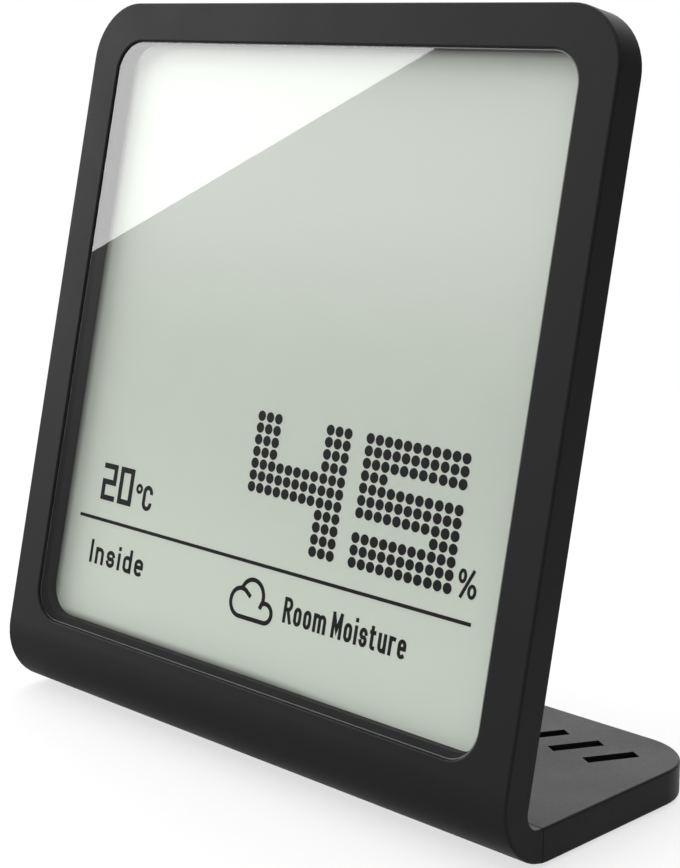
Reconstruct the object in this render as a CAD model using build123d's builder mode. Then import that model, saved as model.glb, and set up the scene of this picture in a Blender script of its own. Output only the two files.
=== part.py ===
from build123d import *
import os; os.makedirs("parts", exist_ok=True)
from math import cos, radians, sin, tan

# Desk hygrometer: a leaning panel with a display, bent at its lower edge into a flat foot.
# Origin: on the table, in the middle of the width and of the depth.
# +X to the right as the display is read, +Y to the back, +Z up. Millimetres and degrees.
# Heights and depths start at the sharp corner that the leaning face and the underside would make:
# in the panel, u runs to the right, v up the slope from it, and depth back from the face.

# Stand
width = 86.0                 # across panel and foot
slope_height = 93.4          # up the face, from its sharp lower corner to its top edge
lean = 12.0                  # angle back from upright
panel_thickness = 4.3
foot_depth = 38.9            # from that corner to the rear edge
foot_thickness = 4.1
panel_corner = 7.4           # radius of the two upper corners
foot_corner = 7.4            # radius of the two rear corners
bend_outer = 7.7             # radius of the bend's outside
bend_inner = 2.2             # radius of its inside
edge_round = 0.3             # small round on every outer edge
seam_offset = 0.3            # seam behind the end of the inner radius
seam_gap = 0.1               # the fine line between frame and foot plate

# Window and the pocket behind it
bezel_side = 5.0
bezel_top = 5.0
bezel_bottom = 11.2
window_corner = 4.1
window_round = 0.2           # round on the window's front edge
lip = 0.5                    # thickness of the web in front of the lens
pocket_margin = 2.0          # pocket wider than the window, on each side
pocket_corner = 3.0
nest_gap = 0.2               # lens and shield inside the pocket, on each side
tape_setback = 0.3           # tape behind the window's edge

# Layers behind the lip, front to back
tape_thickness = 0.1
lens_thickness = 0.8
shield_depth = 1.5
shield_sill = 0.8            # how far the shield stands up behind the window's lower edge
polariser_thickness = 0.2
glass_thickness = 0.55
reflector_thickness = 0.2
glass_overlap = 0.8          # display glass beyond the window, on each side
film_inset = 0.4             # polariser and reflector inside the glass edge
contact_ledge = 3.4          # front glass left bare below the rear glass
bay_gap = 0.4                # display to battery cup, filled by a foam pad
board_gap = 1.0              # display to circuit board, filled by foam pads
board_thickness = 1.0

# Coin cell, 2025 size, in its cup
cell_diameter = 20.0
cell_thickness = 2.5
cell_clearance = 0.3
cell_step = 0.3              # cap stands in front of the can's shoulder
cell_rim = 1.4               # can's rim outside the cap
cell_bevel = 0.25
cup_wall = 1.2
cup_floor = 0.8
bay_height = 69.0            # v of the cell's centre
leaf_thickness = 0.2         # sheet of the negative contact
spring_thickness = 0.3       # sheet of the positive contact
contact_width = 5.0
contact_play = 0.05          # cell rim to positive contact
contact_foot = 3.0           # length of each contact on the board
leaf_beyond = 2.0            # contacts past the cell's centre
leaf_ramp = 1.6              # board edge to the end of the leaf's ramp
spring_rise = 0.2            # spring above the cup's floor line
spring_step = 0.6            # spring's notch round the board's edge
spring_top_gap = 0.1
slot_play = 0.2              # contacts in their slots

# Rear cover
cover_wall = 1.3
flange_thickness = 1.0
flange_inset = 1.6           # flange edge inside the panel's outline
flange_rise = 0.6            # flange above the bend's inner radius
bulge_step = 1.2             # bulge inside the flange edge
bulge_draft = 2.2            # how far the bulge's walls lean in over its height
bulge_round = 1.2            # round on the bulge's rear edge
bulge_corner = 0.8           # least radius of its corners
tab_length = 12.0
tab_thickness = 0.7
tab_reach = 1.1              # how far the snap tabs reach into the pocket
tab_spacing = 44.0           # between the two tabs of one side
tab_gap = 0.1
bead_height = 0.25           # snap bead above its tab
bead_width = 0.5
bead_gap = 0.08

# Battery door
door_width = 27.0
door_thickness = 1.25
door_gap = 0.15              # all round the door
door_foot = 3.5              # door below the cell's lower edge
rail_width = 0.8
rail_thickness = 0.45
pan_floor = 1.0
pan_wall = 1.2
grip_count = 5
grip_pitch = 2.0
grip_length = 14.0
grip_width = 0.9
grip_depth = 0.4
grip_rise = 7.0              # middle of the grip above the door's lower edge
notch_radius = 3.5           # fingernail notch beside the cell
notch_depth = 0.7

# Circuit board and what it carries
board_side_gap = 1.4         # board edge to the cover's inner wall
board_cup_gap = 6.2          # board's upper edge to the battery cup
board_low_gap = 0.3
board_corner = 1.0
screw_inset = 4.6            # board screws in from the board's edges
board_screw_head = 1.4       # radius
board_screw_head_height = 0.7
board_screw_bevel = 0.25
board_screw_shank = 0.8      # radius
board_screw_length = 2.9     # under the head
screw_play = 0.05            # shank to hole, radial
screw_tip = 0.3              # hole deeper than its screw
boss_radius = 2.2
zebra_length = 60.0
zebra_width = 1.4
zebra_gap = 0.2              # strip to the board's lower edge
foam_width = 4.0
foam_length = 24.0
foam_spread = 44.0           # between the two strips
bay_foam_size = 14.0
chip_radius = 6.0
chip_height = 1.2
chip_rise = 18.7             # chip above the board's lower edge
chip_bevel = 0.8             # slope round the cap
crystal_diameter = 1.5
crystal_length = 5.0
crystal_bevel = 0.2
crystal_gap = 2.0            # chip to crystal
passive_length = 1.6
passive_width = 0.8
capacitor_height = 0.8
resistor_height = 0.45
passive_pitch = 3.0
passive_gap = 2.0            # chip to each row
capacitor_count = 5
resistor_count = 4
sensor_inset = 13.0          # sensor in from the board's right end, as the display is read
sensor_rise = 12.7           # sensor above the board's lower edge
sensor_size = 3.0
sensor_height = 1.1
sensor_port = 0.5            # radius of the sensor's opening
sensor_port_depth = 0.4
collar_outer = 7.4
collar_inner = 4.6
membrane_thickness = 0.2
membrane_size = 9.0
membrane_corner = 1.1
vent_count = 4
vent_pitch = 2.0
vent_length = 7.0
vent_width = 1.1

# Unit button and the switch under it
button_inset = 13.0          # button in from the board's left end
button_rise = 12.7
button_radius = 2.5
button_gap = 0.15
button_recess = 0.2          # button face below the cover's back
button_flange = 0.9          # flange wider than the button, radial
button_flange_thickness = 0.5
button_bevel = 0.3
button_travel = 0.35
switch_size = 4.5
switch_height = 0.95
switch_corner = 0.45
plunger_radius = 0.9
plunger_gap = 0.12
plunger_bottom = 0.1         # clear space under the pressed plunger
touch_gap = 0.05             # button to plunger, and button flange to cover

# Foot fixings
tongue_inset = 8.0           # tongue in from each side of the foot
tongue_thickness = 1.8
tongue_end = 24.0            # where the tongue stops, behind the sharp corner
tongue_gap = 0.05
foot_screw_back = 19.5       # screws behind the sharp corner
foot_screw_pitch = 24.0
foot_screw_count = 3
foot_screw_head = 1.9        # radius
foot_screw_cone = 0.9        # height of the countersunk head
foot_screw_taper = 45.0
foot_screw_shank = 1.0       # radius
foot_screw_length = 3.3
recess_width = 0.5           # cross recess
recess_depth = 0.6
pad_length = 60.0
pad_width = 4.0
pad_thickness = 1.0
pad_proud = 0.4              # pads below the underside
pad_front_back = 13.0        # front pad's centre behind the sharp corner
pad_rear_inset = 4.6         # rear pad's centre in from the rear edge
pad_gap = 0.1                # pad inside its recess
pad_bevel = 0.15

# Row of plain recessed slots in the foot's top
slot_count = 15
slot_pitch = 5.1
slot_length = 6.6
slot_width = 1.7
slot_slant = 62.0            # slot's angle to the width
slot_depth = 1.2
slot_rear = 8.6              # row's middle in from the rear edge

past = 1.0                   # how far a cut runs past the faces it opens
near = 0.01

# Directions and planes: the bend's round takes the front of the foot back from its sharp corner
tilt = radians(lean)
front_line = bend_outer * ((1 + sin(tilt)) / cos(tilt) - 1)
corner = Vector(0, -(front_line + foot_depth) / 2, pad_proud)
up_slope = Vector(0, sin(tilt), cos(tilt))
outward = Vector(0, -cos(tilt), sin(tilt))
through = Axis((0, 0, 0), outward)
underside = Plane(origin=corner)
side_view = Plane(origin=corner, x_dir=(0, 1, 0), z_dir=(1, 0, 0))


def layer(depth):
    """Plane at a depth behind the face, seen from the front: x is u, y is v."""
    return Plane(origin=corner - outward * depth, x_dir=(1, 0, 0), z_dir=outward)


def section(u):
    """Plane across the panel at u: x is v, y is depth."""
    return Plane(origin=corner + Vector(u, 0, 0), x_dir=up_slope, z_dir=(-1, 0, 0))


def depth_of(point):
    return (corner - point).dot(outward)


def height_of(point):
    return (point - corner).dot(up_slope)


# The bend: where the panel's back meets the foot's top, and where the inner radius ends
inner_y = panel_thickness / cos(tilt) + foot_thickness * tan(tilt)
inner_v = (foot_thickness + panel_thickness * sin(tilt)) / cos(tilt)
inner_run = bend_inner / tan(radians(90 - lean) / 2)
seam_y = inner_y + inner_run + seam_offset
plate_front = seam_y + seam_gap

# The window and the pocket
window_w = width - 2 * bezel_side
window_h = slope_height - bezel_top - bezel_bottom
window_v = bezel_bottom + window_h / 2
pocket_w = window_w + 2 * pocket_margin
pocket_h = window_h + 2 * pocket_margin

# Depths of the layers
lens_front = lip + tape_thickness
shield_front = lens_front + lens_thickness
display_front = shield_front + shield_depth
glass_front = display_front + polariser_thickness
rear_glass_front = glass_front + glass_thickness
reflector_front = rear_glass_front + glass_thickness
display_back = reflector_front + reflector_thickness
cup_front = display_back + bay_gap
leaf_front = cup_front + cup_floor
cell_front = leaf_front + leaf_thickness
pan_back = cell_front + cell_thickness
door_front = pan_back + door_gap
cover_back = door_front + door_thickness
cover_inside = cover_back - cover_wall
board_front = display_back + board_gap
board_back = board_front + board_thickness

# Display glass
glass_w = window_w + 2 * glass_overlap
glass_h = window_h + 2 * glass_overlap
glass_low = bezel_bottom - glass_overlap
glass_high = glass_low + glass_h
rear_glass_low = glass_low + contact_ledge

# Rear cover outline: flange, then the bulge from its wide front to its narrower back
flange_low = inner_v + inner_run + flange_rise
flange_high = slope_height - flange_inset
flange_w = width - 2 * flange_inset
flange_corner = panel_corner - flange_inset
bulge_front = panel_thickness + flange_thickness


def bulge_outline(inset):
    """Width, height, middle v and corner radius of the bulge's outline, drawn in by an inset."""
    edge = bulge_step + inset
    wide = flange_w - 2 * edge
    low = flange_low + bulge_step / 2 + inset
    high = flange_high - edge
    return wide, high - low, (low + high) / 2, max(flange_corner - edge, bulge_corner)


def draft_at(depth):
    """How far the bulge's wall has leaned in at a depth."""
    return bulge_draft * (depth - bulge_front) / (cover_back - bulge_front)


def rounded(wide, high, middle, radius):
    """One rounded rectangle in the sketch at hand, its middle at a height v."""
    with Locations((0, middle)):
        RectangleRounded(wide, high, radius)


# Whole stand, before the seam parts it and the window opens it
with BuildPart() as stand_form:
    with BuildSketch(side_view) as side:
        with BuildLine():
            face_top = (slope_height * sin(tilt), slope_height * cos(tilt))
            back_top = (
                face_top[0] + panel_thickness * cos(tilt),
                face_top[1] - panel_thickness * sin(tilt),
            )
            Polyline(
                (0, 0),
                face_top,
                back_top,
                (inner_y, foot_thickness),
                (foot_depth, foot_thickness),
                (foot_depth, 0),
                close=True,
            )
        make_face()
        inner_bend = side.vertices().sort_by_distance((inner_y, foot_thickness))[0]
        fillet(inner_bend, bend_inner)
        outer_bend = side.vertices().sort_by_distance((0, 0))[0]
        fillet(outer_bend, bend_outer)
    extrude(amount=width / 2, both=True)
    upper_corners = stand_form.edges().filter_by(through)
    fillet(upper_corners, panel_corner)
    rear_corners = stand_form.edges().filter_by(Axis.Z).group_by(Axis.Y)[-1]
    fillet(rear_corners, foot_corner)
    across = stand_form.edges().filter_by(Axis.X)
    corner_line = width / 2 - min(panel_corner, foot_corner)
    flanks = stand_form.edges().filter_by(lambda edge: abs(edge.center().X) > corner_line + near)
    flanks = flanks.filter_by(through, reverse=True).filter_by(Axis.Z, reverse=True)
    fillet(across.sort_by(Axis.Z)[-2:] + across.sort_by(Axis.Y)[-2:] + flanks, edge_round)

# Snap tabs of the cover: side of the pocket, turned about the window's middle
bead_depth = panel_thickness - tab_reach + bead_width / 2 + bead_gap
tab_seats = []
for turn, reach in ((0, pocket_w / 2), (90, pocket_h / 2), (180, pocket_w / 2), (270, pocket_h / 2)):
    for shift in (-tab_spacing / 2, tab_spacing / 2):
        tab_seats.append((turn, reach, shift))


def beside(depth, turn, reach, shift):
    """Plane at one side of the pocket: x points out through its wall, y along it."""
    middle = layer(depth) * Pos(0, window_v, 0) * Rot(0, 0, turn) * Pos(reach, shift, 0)
    return Plane(middle)


# Front frame: bezel, bend and the tongue under the foot plate
with BuildPart() as front_frame:
    add(stand_form.part)
    with BuildSketch(underside.offset(tongue_thickness)):
        with Locations((0, seam_y + foot_depth / 2)):
            Rectangle(width + 2 * past, foot_depth)
    extrude(amount=foot_thickness - tongue_thickness + past, mode=Mode.SUBTRACT)
    with BuildSketch(underside.offset(tongue_thickness)):
        with Locations((0, seam_y + foot_depth / 2)):
            Rectangle(width + 2 * past, foot_depth)
        with Locations((0, (seam_y - past + tongue_end) / 2)):
            Rectangle(width - 2 * tongue_inset, tongue_end - seam_y + past, mode=Mode.SUBTRACT)
    extrude(amount=-tongue_thickness - past, mode=Mode.SUBTRACT)
    with BuildSketch(layer(0)):
        rounded(window_w, window_h, window_v, window_corner)
    extrude(amount=-lip, mode=Mode.SUBTRACT)
    with BuildSketch(layer(lip)):
        rounded(pocket_w, pocket_h, window_v, pocket_corner)
    extrude(amount=lip - panel_thickness, mode=Mode.SUBTRACT)
    window_rim = front_frame.edges().filter_by(
        lambda edge: abs(depth_of(edge.center())) < near
        and abs(edge.center().X) < window_w / 2 + near
        and abs(height_of(edge.center()) - window_v) < window_h / 2 + near
    )
    fillet(window_rim, window_round)
    for turn, reach, shift in tab_seats:
        with BuildSketch(beside(bead_depth - bead_width / 2 - bead_gap, turn, reach, shift)):
            Rectangle(2 * (bead_height + bead_gap), tab_length)
        extrude(amount=-bead_width - 2 * bead_gap, mode=Mode.SUBTRACT)
    with BuildSketch(underside):
        with GridLocations(foot_screw_pitch, 0, foot_screw_count, 1):
            with Locations((0, foot_screw_back)):
                Circle(foot_screw_shank + screw_play)
    extrude(amount=tongue_thickness, mode=Mode.SUBTRACT)
    with BuildSketch(underside):
        with GridLocations(foot_screw_pitch, 0, foot_screw_count, 1):
            with Locations((0, foot_screw_back)):
                Circle(foot_screw_head + screw_play)
    extrude(amount=foot_screw_cone + screw_play, taper=foot_screw_taper, mode=Mode.SUBTRACT)
    with BuildSketch(underside):
        with Locations((0, pad_front_back)):
            SlotOverall(pad_length, pad_width)
    extrude(amount=pad_thickness - pad_proud, mode=Mode.SUBTRACT)
front_frame.part.label = "front_frame"
export_step(front_frame.part, "parts/front_frame.step")

# Foot plate behind the seam: takes the tongue from below and carries the slots on its top
with BuildPart() as foot_plate:
    add(stand_form.part)
    with BuildSketch(underside.offset(-past)):
        with Locations((0, (plate_front + foot_depth + past) / 2)):
            Rectangle(width + 2 * past, foot_depth + past - plate_front)
    extrude(amount=foot_thickness + 2 * past, mode=Mode.INTERSECT)
    with BuildSketch(underside):
        with Locations((0, (seam_y + tongue_end + tongue_gap) / 2)):
            Rectangle(width - 2 * (tongue_inset - tongue_gap), tongue_end + tongue_gap - seam_y)
    extrude(amount=tongue_thickness + tongue_gap, mode=Mode.SUBTRACT)
    with BuildSketch(underside.offset(tongue_thickness)):
        with GridLocations(foot_screw_pitch, 0, foot_screw_count, 1):
            with Locations((0, foot_screw_back)):
                Circle(foot_screw_shank + screw_play)
    extrude(amount=foot_screw_length + screw_tip - tongue_thickness, mode=Mode.SUBTRACT)
    with BuildSketch(underside):
        with Locations((0, foot_depth - pad_rear_inset)):
            SlotOverall(pad_length, pad_width)
    extrude(amount=pad_thickness - pad_proud, mode=Mode.SUBTRACT)
    with BuildSketch(underside.offset(foot_thickness)):
        with GridLocations(slot_pitch, 0, slot_count, 1):
            with Locations((0, foot_depth - slot_rear)):
                Rectangle(slot_length, slot_width, rotation=slot_slant)
    extrude(amount=-slot_depth, mode=Mode.SUBTRACT)
foot_plate.part.label = "foot_plate"
export_step(foot_plate.part, "parts/foot_plate.step")

# Countersunk screws, from below through the tongue into the foot plate
with BuildPart() as foot_screws:
    with BuildSketch(underside):
        with GridLocations(foot_screw_pitch, 0, foot_screw_count, 1):
            with Locations((0, foot_screw_back)):
                Circle(foot_screw_head)
    extrude(amount=foot_screw_cone, taper=foot_screw_taper)
    with BuildSketch(underside):
        with GridLocations(foot_screw_pitch, 0, foot_screw_count, 1):
            with Locations((0, foot_screw_back)):
                Circle(foot_screw_shank)
    extrude(amount=foot_screw_length)
    with BuildSketch(underside):
        with GridLocations(foot_screw_pitch, 0, foot_screw_count, 1):
            with Locations((0, foot_screw_back)):
                Rectangle(foot_screw_shank * 2, recess_width)
                Rectangle(recess_width, foot_screw_shank * 2)
    extrude(amount=recess_depth, mode=Mode.SUBTRACT)
foot_screws.part.label = "foot_screws"
export_step(foot_screws.part, "parts/foot_screws.step")

# Soft strips that the hygrometer rests on
with BuildPart() as foot_pads:
    with BuildSketch(underside.offset(-pad_proud)):
        for pad_y in (pad_front_back, foot_depth - pad_rear_inset):
            with Locations((0, pad_y)):
                SlotOverall(pad_length - 2 * pad_gap, pad_width - 2 * pad_gap)
    extrude(amount=pad_thickness)
    chamfer(foot_pads.edges().group_by(Axis.Z)[0], pad_bevel)
foot_pads.part.label = "foot_pads"
export_step(foot_pads.part, "parts/foot_pads.step")

# Adhesive ring, lens and light shield in the pocket
with BuildPart() as lens_tape:
    with BuildSketch(layer(lip)):
        rounded(pocket_w - 2 * nest_gap, pocket_h - 2 * nest_gap, window_v, pocket_corner - nest_gap)
        with Locations((0, window_v)):
            RectangleRounded(
                window_w + 2 * tape_setback,
                window_h + 2 * tape_setback,
                window_corner,
                mode=Mode.SUBTRACT,
            )
    extrude(amount=-tape_thickness)
lens_tape.part.label = "lens_tape"
export_step(lens_tape.part, "parts/lens_tape.step")

with BuildPart() as lens:
    with BuildSketch(layer(lens_front)):
        rounded(pocket_w - 2 * nest_gap, pocket_h - 2 * nest_gap, window_v, pocket_corner - nest_gap)
    extrude(amount=-lens_thickness)
lens.part.label = "lens"
export_step(lens.part, "parts/lens.step")

with BuildPart() as light_shield:
    with BuildSketch(layer(shield_front)):
        rounded(pocket_w - 2 * nest_gap, pocket_h - 2 * nest_gap, window_v, pocket_corner - nest_gap)
        with Locations((0, window_v + shield_sill / 2)):
            RectangleRounded(window_w, window_h - shield_sill, window_corner, mode=Mode.SUBTRACT)
    extrude(amount=-shield_depth)
light_shield.part.label = "light_shield"
export_step(light_shield.part, "parts/light_shield.step")

# Display: films and glass, with a bare ledge along the lower edge for its contacts
film_w = glass_w - 2 * film_inset
rear_glass_h = glass_high - rear_glass_low
with BuildPart() as lcd_front_polariser:
    with BuildSketch(layer(display_front)):
        with Locations((0, window_v)):
            Rectangle(film_w, glass_h - 2 * film_inset)
    extrude(amount=-polariser_thickness)
lcd_front_polariser.part.label = "lcd_front_polariser"
export_step(lcd_front_polariser.part, "parts/lcd_front_polariser.step")

with BuildPart() as lcd_front_glass:
    with BuildSketch(layer(glass_front)):
        with Locations((0, window_v)):
            Rectangle(glass_w, glass_h)
    extrude(amount=-glass_thickness)
lcd_front_glass.part.label = "lcd_front_glass"
export_step(lcd_front_glass.part, "parts/lcd_front_glass.step")

with BuildPart() as lcd_rear_glass:
    with BuildSketch(layer(rear_glass_front)):
        with Locations((0, rear_glass_low + rear_glass_h / 2)):
            Rectangle(glass_w, rear_glass_h)
    extrude(amount=-glass_thickness)
lcd_rear_glass.part.label = "lcd_rear_glass"
export_step(lcd_rear_glass.part, "parts/lcd_rear_glass.step")

with BuildPart() as lcd_reflector:
    with BuildSketch(layer(reflector_front)):
        with Locations((0, rear_glass_low + rear_glass_h / 2)):
            Rectangle(film_w, rear_glass_h - 2 * film_inset)
    extrude(amount=-reflector_thickness)
lcd_reflector.part.label = "lcd_reflector"
export_step(lcd_reflector.part, "parts/lcd_reflector.step")

# Circuit board inside the cover's walls, below the battery cup
cell_radius = cell_diameter / 2
cup_inner = cell_radius + cell_clearance
cup_outer = cup_inner + cup_wall
cavity_w, cavity_h, cavity_v, cavity_r = bulge_outline(cover_wall + draft_at(board_back))
board_w = cavity_w - 2 * board_side_gap
board_low = cavity_v - cavity_h / 2 + board_low_gap
board_high = bay_height - cup_outer - board_cup_gap
board_height = board_high - board_low
board_v = (board_low + board_high) / 2
screw_across = board_w - 2 * screw_inset
screw_up = board_height - 2 * screw_inset
chip_v = board_low + chip_rise
sensor_u = board_w / 2 - sensor_inset
sensor_v = board_low + sensor_rise
button_u = button_inset - board_w / 2
button_v = board_low + button_rise
with BuildPart() as circuit_board:
    with BuildSketch(layer(board_front)):
        rounded(board_w, board_height, board_v, board_corner)
        with Locations((0, board_v)):
            with GridLocations(screw_across, screw_up, 2, 2):
                Circle(board_screw_shank + screw_play, mode=Mode.SUBTRACT)
    extrude(amount=-board_thickness)
circuit_board.part.label = "circuit_board"
export_step(circuit_board.part, "parts/circuit_board.step")

with BuildPart() as board_screws:
    with BuildSketch(layer(board_front)):
        with Locations((0, board_v)):
            with GridLocations(screw_across, screw_up, 2, 2):
                Circle(board_screw_head)
    extrude(amount=board_screw_head_height)
    chamfer(board_screws.edges().sort_by(through)[-4:], board_screw_bevel)
    with BuildSketch(layer(board_front)):
        with Locations((0, board_v)):
            with GridLocations(screw_across, screw_up, 2, 2):
                Circle(board_screw_shank)
    extrude(amount=-board_screw_length)
board_screws.part.label = "board_screws"
export_step(board_screws.part, "parts/board_screws.step")

# Connector between the display's ledge and the board
with BuildPart() as zebra_strip:
    with BuildSketch(layer(rear_glass_front)):
        with Locations((0, board_low + zebra_gap + zebra_width / 2)):
            Rectangle(zebra_length, zebra_width)
    extrude(amount=rear_glass_front - board_front)
zebra_strip.part.label = "zebra_strip"
export_step(zebra_strip.part, "parts/zebra_strip.step")

# Foam behind the display: two strips on the board, one patch on the battery cup
with BuildPart() as foam_pads:
    with BuildSketch(layer(display_back)):
        with Locations((0, board_v)):
            with GridLocations(foam_spread, 0, 2, 1):
                Rectangle(foam_width, foam_length)
    extrude(amount=-board_gap)
    with BuildSketch(layer(display_back)):
        with Locations((0, bay_height)):
            Rectangle(bay_foam_size, bay_foam_size)
    extrude(amount=-bay_gap)
foam_pads.part.label = "foam_pads"
export_step(foam_pads.part, "parts/foam_pads.step")

# Parts on the board's back
with BuildPart() as controller_chip:
    with BuildSketch(layer(board_back)):
        with Locations((0, chip_v)):
            Circle(chip_radius)
    extrude(amount=-chip_height)
    chamfer(controller_chip.edges().sort_by(through)[0], chip_bevel)
controller_chip.part.label = "controller_chip"
export_step(controller_chip.part, "parts/controller_chip.step")

crystal_back = board_back + crystal_diameter / 2
with BuildPart() as quartz_crystal:
    with BuildSketch(section(chip_radius + crystal_gap)):
        with Locations((chip_v, crystal_back)):
            Circle(crystal_diameter / 2)
    extrude(amount=-crystal_length)
    chamfer(quartz_crystal.edges().filter_by(GeomType.CIRCLE), crystal_bevel)
quartz_crystal.part.label = "quartz_crystal"
export_step(quartz_crystal.part, "parts/quartz_crystal.step")

passive_v = chip_v + chip_radius + passive_gap
with BuildPart() as chip_capacitors:
    with BuildSketch(layer(board_back)):
        with Locations((0, passive_v)):
            with GridLocations(passive_pitch, 0, capacitor_count, 1):
                Rectangle(passive_width, passive_length)
    extrude(amount=-capacitor_height)
chip_capacitors.part.label = "chip_capacitors"
export_step(chip_capacitors.part, "parts/chip_capacitors.step")

with BuildPart() as chip_resistors:
    with BuildSketch(layer(board_back)):
        with Locations((0, chip_v - chip_radius - passive_gap)):
            with GridLocations(passive_pitch, 0, resistor_count, 1):
                Rectangle(passive_width, passive_length)
    extrude(amount=-resistor_height)
chip_resistors.part.label = "chip_resistors"
export_step(chip_resistors.part, "parts/chip_resistors.step")

# Sensor in its own air: foam collar from the board to the membrane behind the vents
with BuildPart() as humidity_sensor:
    with BuildSketch(layer(board_back)):
        with Locations((sensor_u, sensor_v)):
            Rectangle(sensor_size, sensor_size)
    extrude(amount=-sensor_height)
    with BuildSketch(layer(board_back + sensor_height)):
        with Locations((sensor_u, sensor_v)):
            Circle(sensor_port)
    extrude(amount=sensor_port_depth, mode=Mode.SUBTRACT)
humidity_sensor.part.label = "humidity_sensor"
export_step(humidity_sensor.part, "parts/humidity_sensor.step")

with BuildPart() as sensor_collar:
    with BuildSketch(layer(board_back)):
        with Locations((sensor_u, sensor_v)):
            Rectangle(collar_outer, collar_outer)
            Rectangle(collar_inner, collar_inner, mode=Mode.SUBTRACT)
    extrude(amount=board_back + membrane_thickness - cover_inside)
sensor_collar.part.label = "sensor_collar"
export_step(sensor_collar.part, "parts/sensor_collar.step")

with BuildPart() as vent_membrane:
    with BuildSketch(layer(cover_inside - membrane_thickness)):
        with Locations((sensor_u, sensor_v)):
            RectangleRounded(membrane_size, membrane_size, membrane_corner)
    extrude(amount=-membrane_thickness)
vent_membrane.part.label = "vent_membrane"
export_step(vent_membrane.part, "parts/vent_membrane.step")

# Unit button, the switch under it and the switch's plunger
flange_back = cover_inside - touch_gap
button_front = flange_back - button_flange_thickness
plunger_back = button_front - touch_gap
plunger_front = board_back + button_travel + plunger_bottom
with BuildPart() as unit_button:
    with BuildSketch(layer(cover_back - button_recess)):
        with Locations((button_u, button_v)):
            Circle(button_radius)
    extrude(amount=cover_back - button_recess - flange_back)
    chamfer(unit_button.edges().sort_by(through)[0], button_bevel)
    with BuildSketch(layer(flange_back)):
        with Locations((button_u, button_v)):
            Circle(button_radius + button_flange)
    extrude(amount=button_flange_thickness)
unit_button.part.label = "unit_button"
export_step(unit_button.part, "parts/unit_button.step")

with BuildPart() as switch_body:
    with BuildSketch(layer(board_back)):
        with Locations((button_u, button_v)):
            RectangleRounded(switch_size, switch_size, switch_corner)
    extrude(amount=-switch_height)
    with BuildSketch(layer(board_back + plunger_bottom / 2)):
        with Locations((button_u, button_v)):
            Circle(plunger_radius + plunger_gap)
    extrude(amount=-switch_height, mode=Mode.SUBTRACT)
switch_body.part.label = "switch_body"
export_step(switch_body.part, "parts/switch_body.step")

with BuildPart() as switch_plunger:
    with BuildSketch(layer(plunger_front)):
        with Locations((button_u, button_v)):
            Circle(plunger_radius)
    extrude(amount=plunger_front - plunger_back)
switch_plunger.part.label = "switch_plunger"
export_step(switch_plunger.part, "parts/switch_plunger.step")

# Coin cell: can towards the door, smaller cap towards the display
with BuildPart() as coin_cell:
    with BuildSketch(layer(cell_front + cell_step)):
        with Locations((0, bay_height)):
            Circle(cell_radius)
    extrude(amount=cell_step - cell_thickness)
    chamfer(coin_cell.edges().filter_by(GeomType.CIRCLE), cell_bevel)
    with BuildSketch(layer(cell_front)):
        with Locations((0, bay_height)):
            Circle(cell_radius - cell_rim)
    extrude(amount=-cell_step)
coin_cell.part.label = "coin_cell"
export_step(coin_cell.part, "parts/coin_cell.step")

# Contacts: a leaf under the cell's cap and a spring beside its rim, both on the board's back
leaf_middle = leaf_front + leaf_thickness / 2
foot_middle = board_back + leaf_thickness / 2
with BuildPart() as negative_contact:
    with BuildSketch(section(0)):
        with BuildLine():
            Polyline(
                (bay_height + leaf_beyond, leaf_middle),
                (bay_height - cup_outer, leaf_middle),
                (board_high + leaf_ramp, foot_middle),
                (board_high - contact_foot, foot_middle),
            )
        trace(line_width=leaf_thickness)
    extrude(amount=contact_width / 2, both=True)
negative_contact.part.label = "negative_contact"
export_step(negative_contact.part, "parts/negative_contact.step")

spring_u = -cell_radius - contact_play - spring_thickness / 2
spring_front = cell_front + spring_rise
spring_back = pan_back - pan_floor - spring_top_gap
spring_top = bay_height + leaf_beyond
with BuildPart() as positive_contact:
    with BuildSketch(section(spring_u)):
        with BuildLine():
            Polyline(
                (board_high - contact_foot, board_back),
                (board_high + spring_step, board_back),
                (board_high + 2 * spring_step, spring_front),
                (spring_top, spring_front),
                (spring_top, spring_back),
                (board_high - contact_foot, spring_back),
                close=True,
            )
        make_face()
    extrude(amount=spring_thickness / 2, both=True)
    with BuildSketch(layer(board_back)):
        with Locations((spring_u - contact_width / 4, board_high - contact_foot / 2)):
            Rectangle(contact_width / 2, contact_foot)
    extrude(amount=-spring_thickness)
positive_contact.part.label = "positive_contact"
export_step(positive_contact.part, "parts/positive_contact.step")

# Bulge of the rear cover, as one solid: the door takes its outer face from it
with BuildPart() as bulge_form:
    for depth, inset in ((bulge_front, 0), (cover_back, bulge_draft)):
        wide, high, middle, radius = bulge_outline(inset)
        with BuildSketch(layer(depth)):
            rounded(wide, high, middle, radius)
    loft()
    fillet(bulge_form.faces().sort_by(through)[0].edges(), bulge_round)

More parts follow.
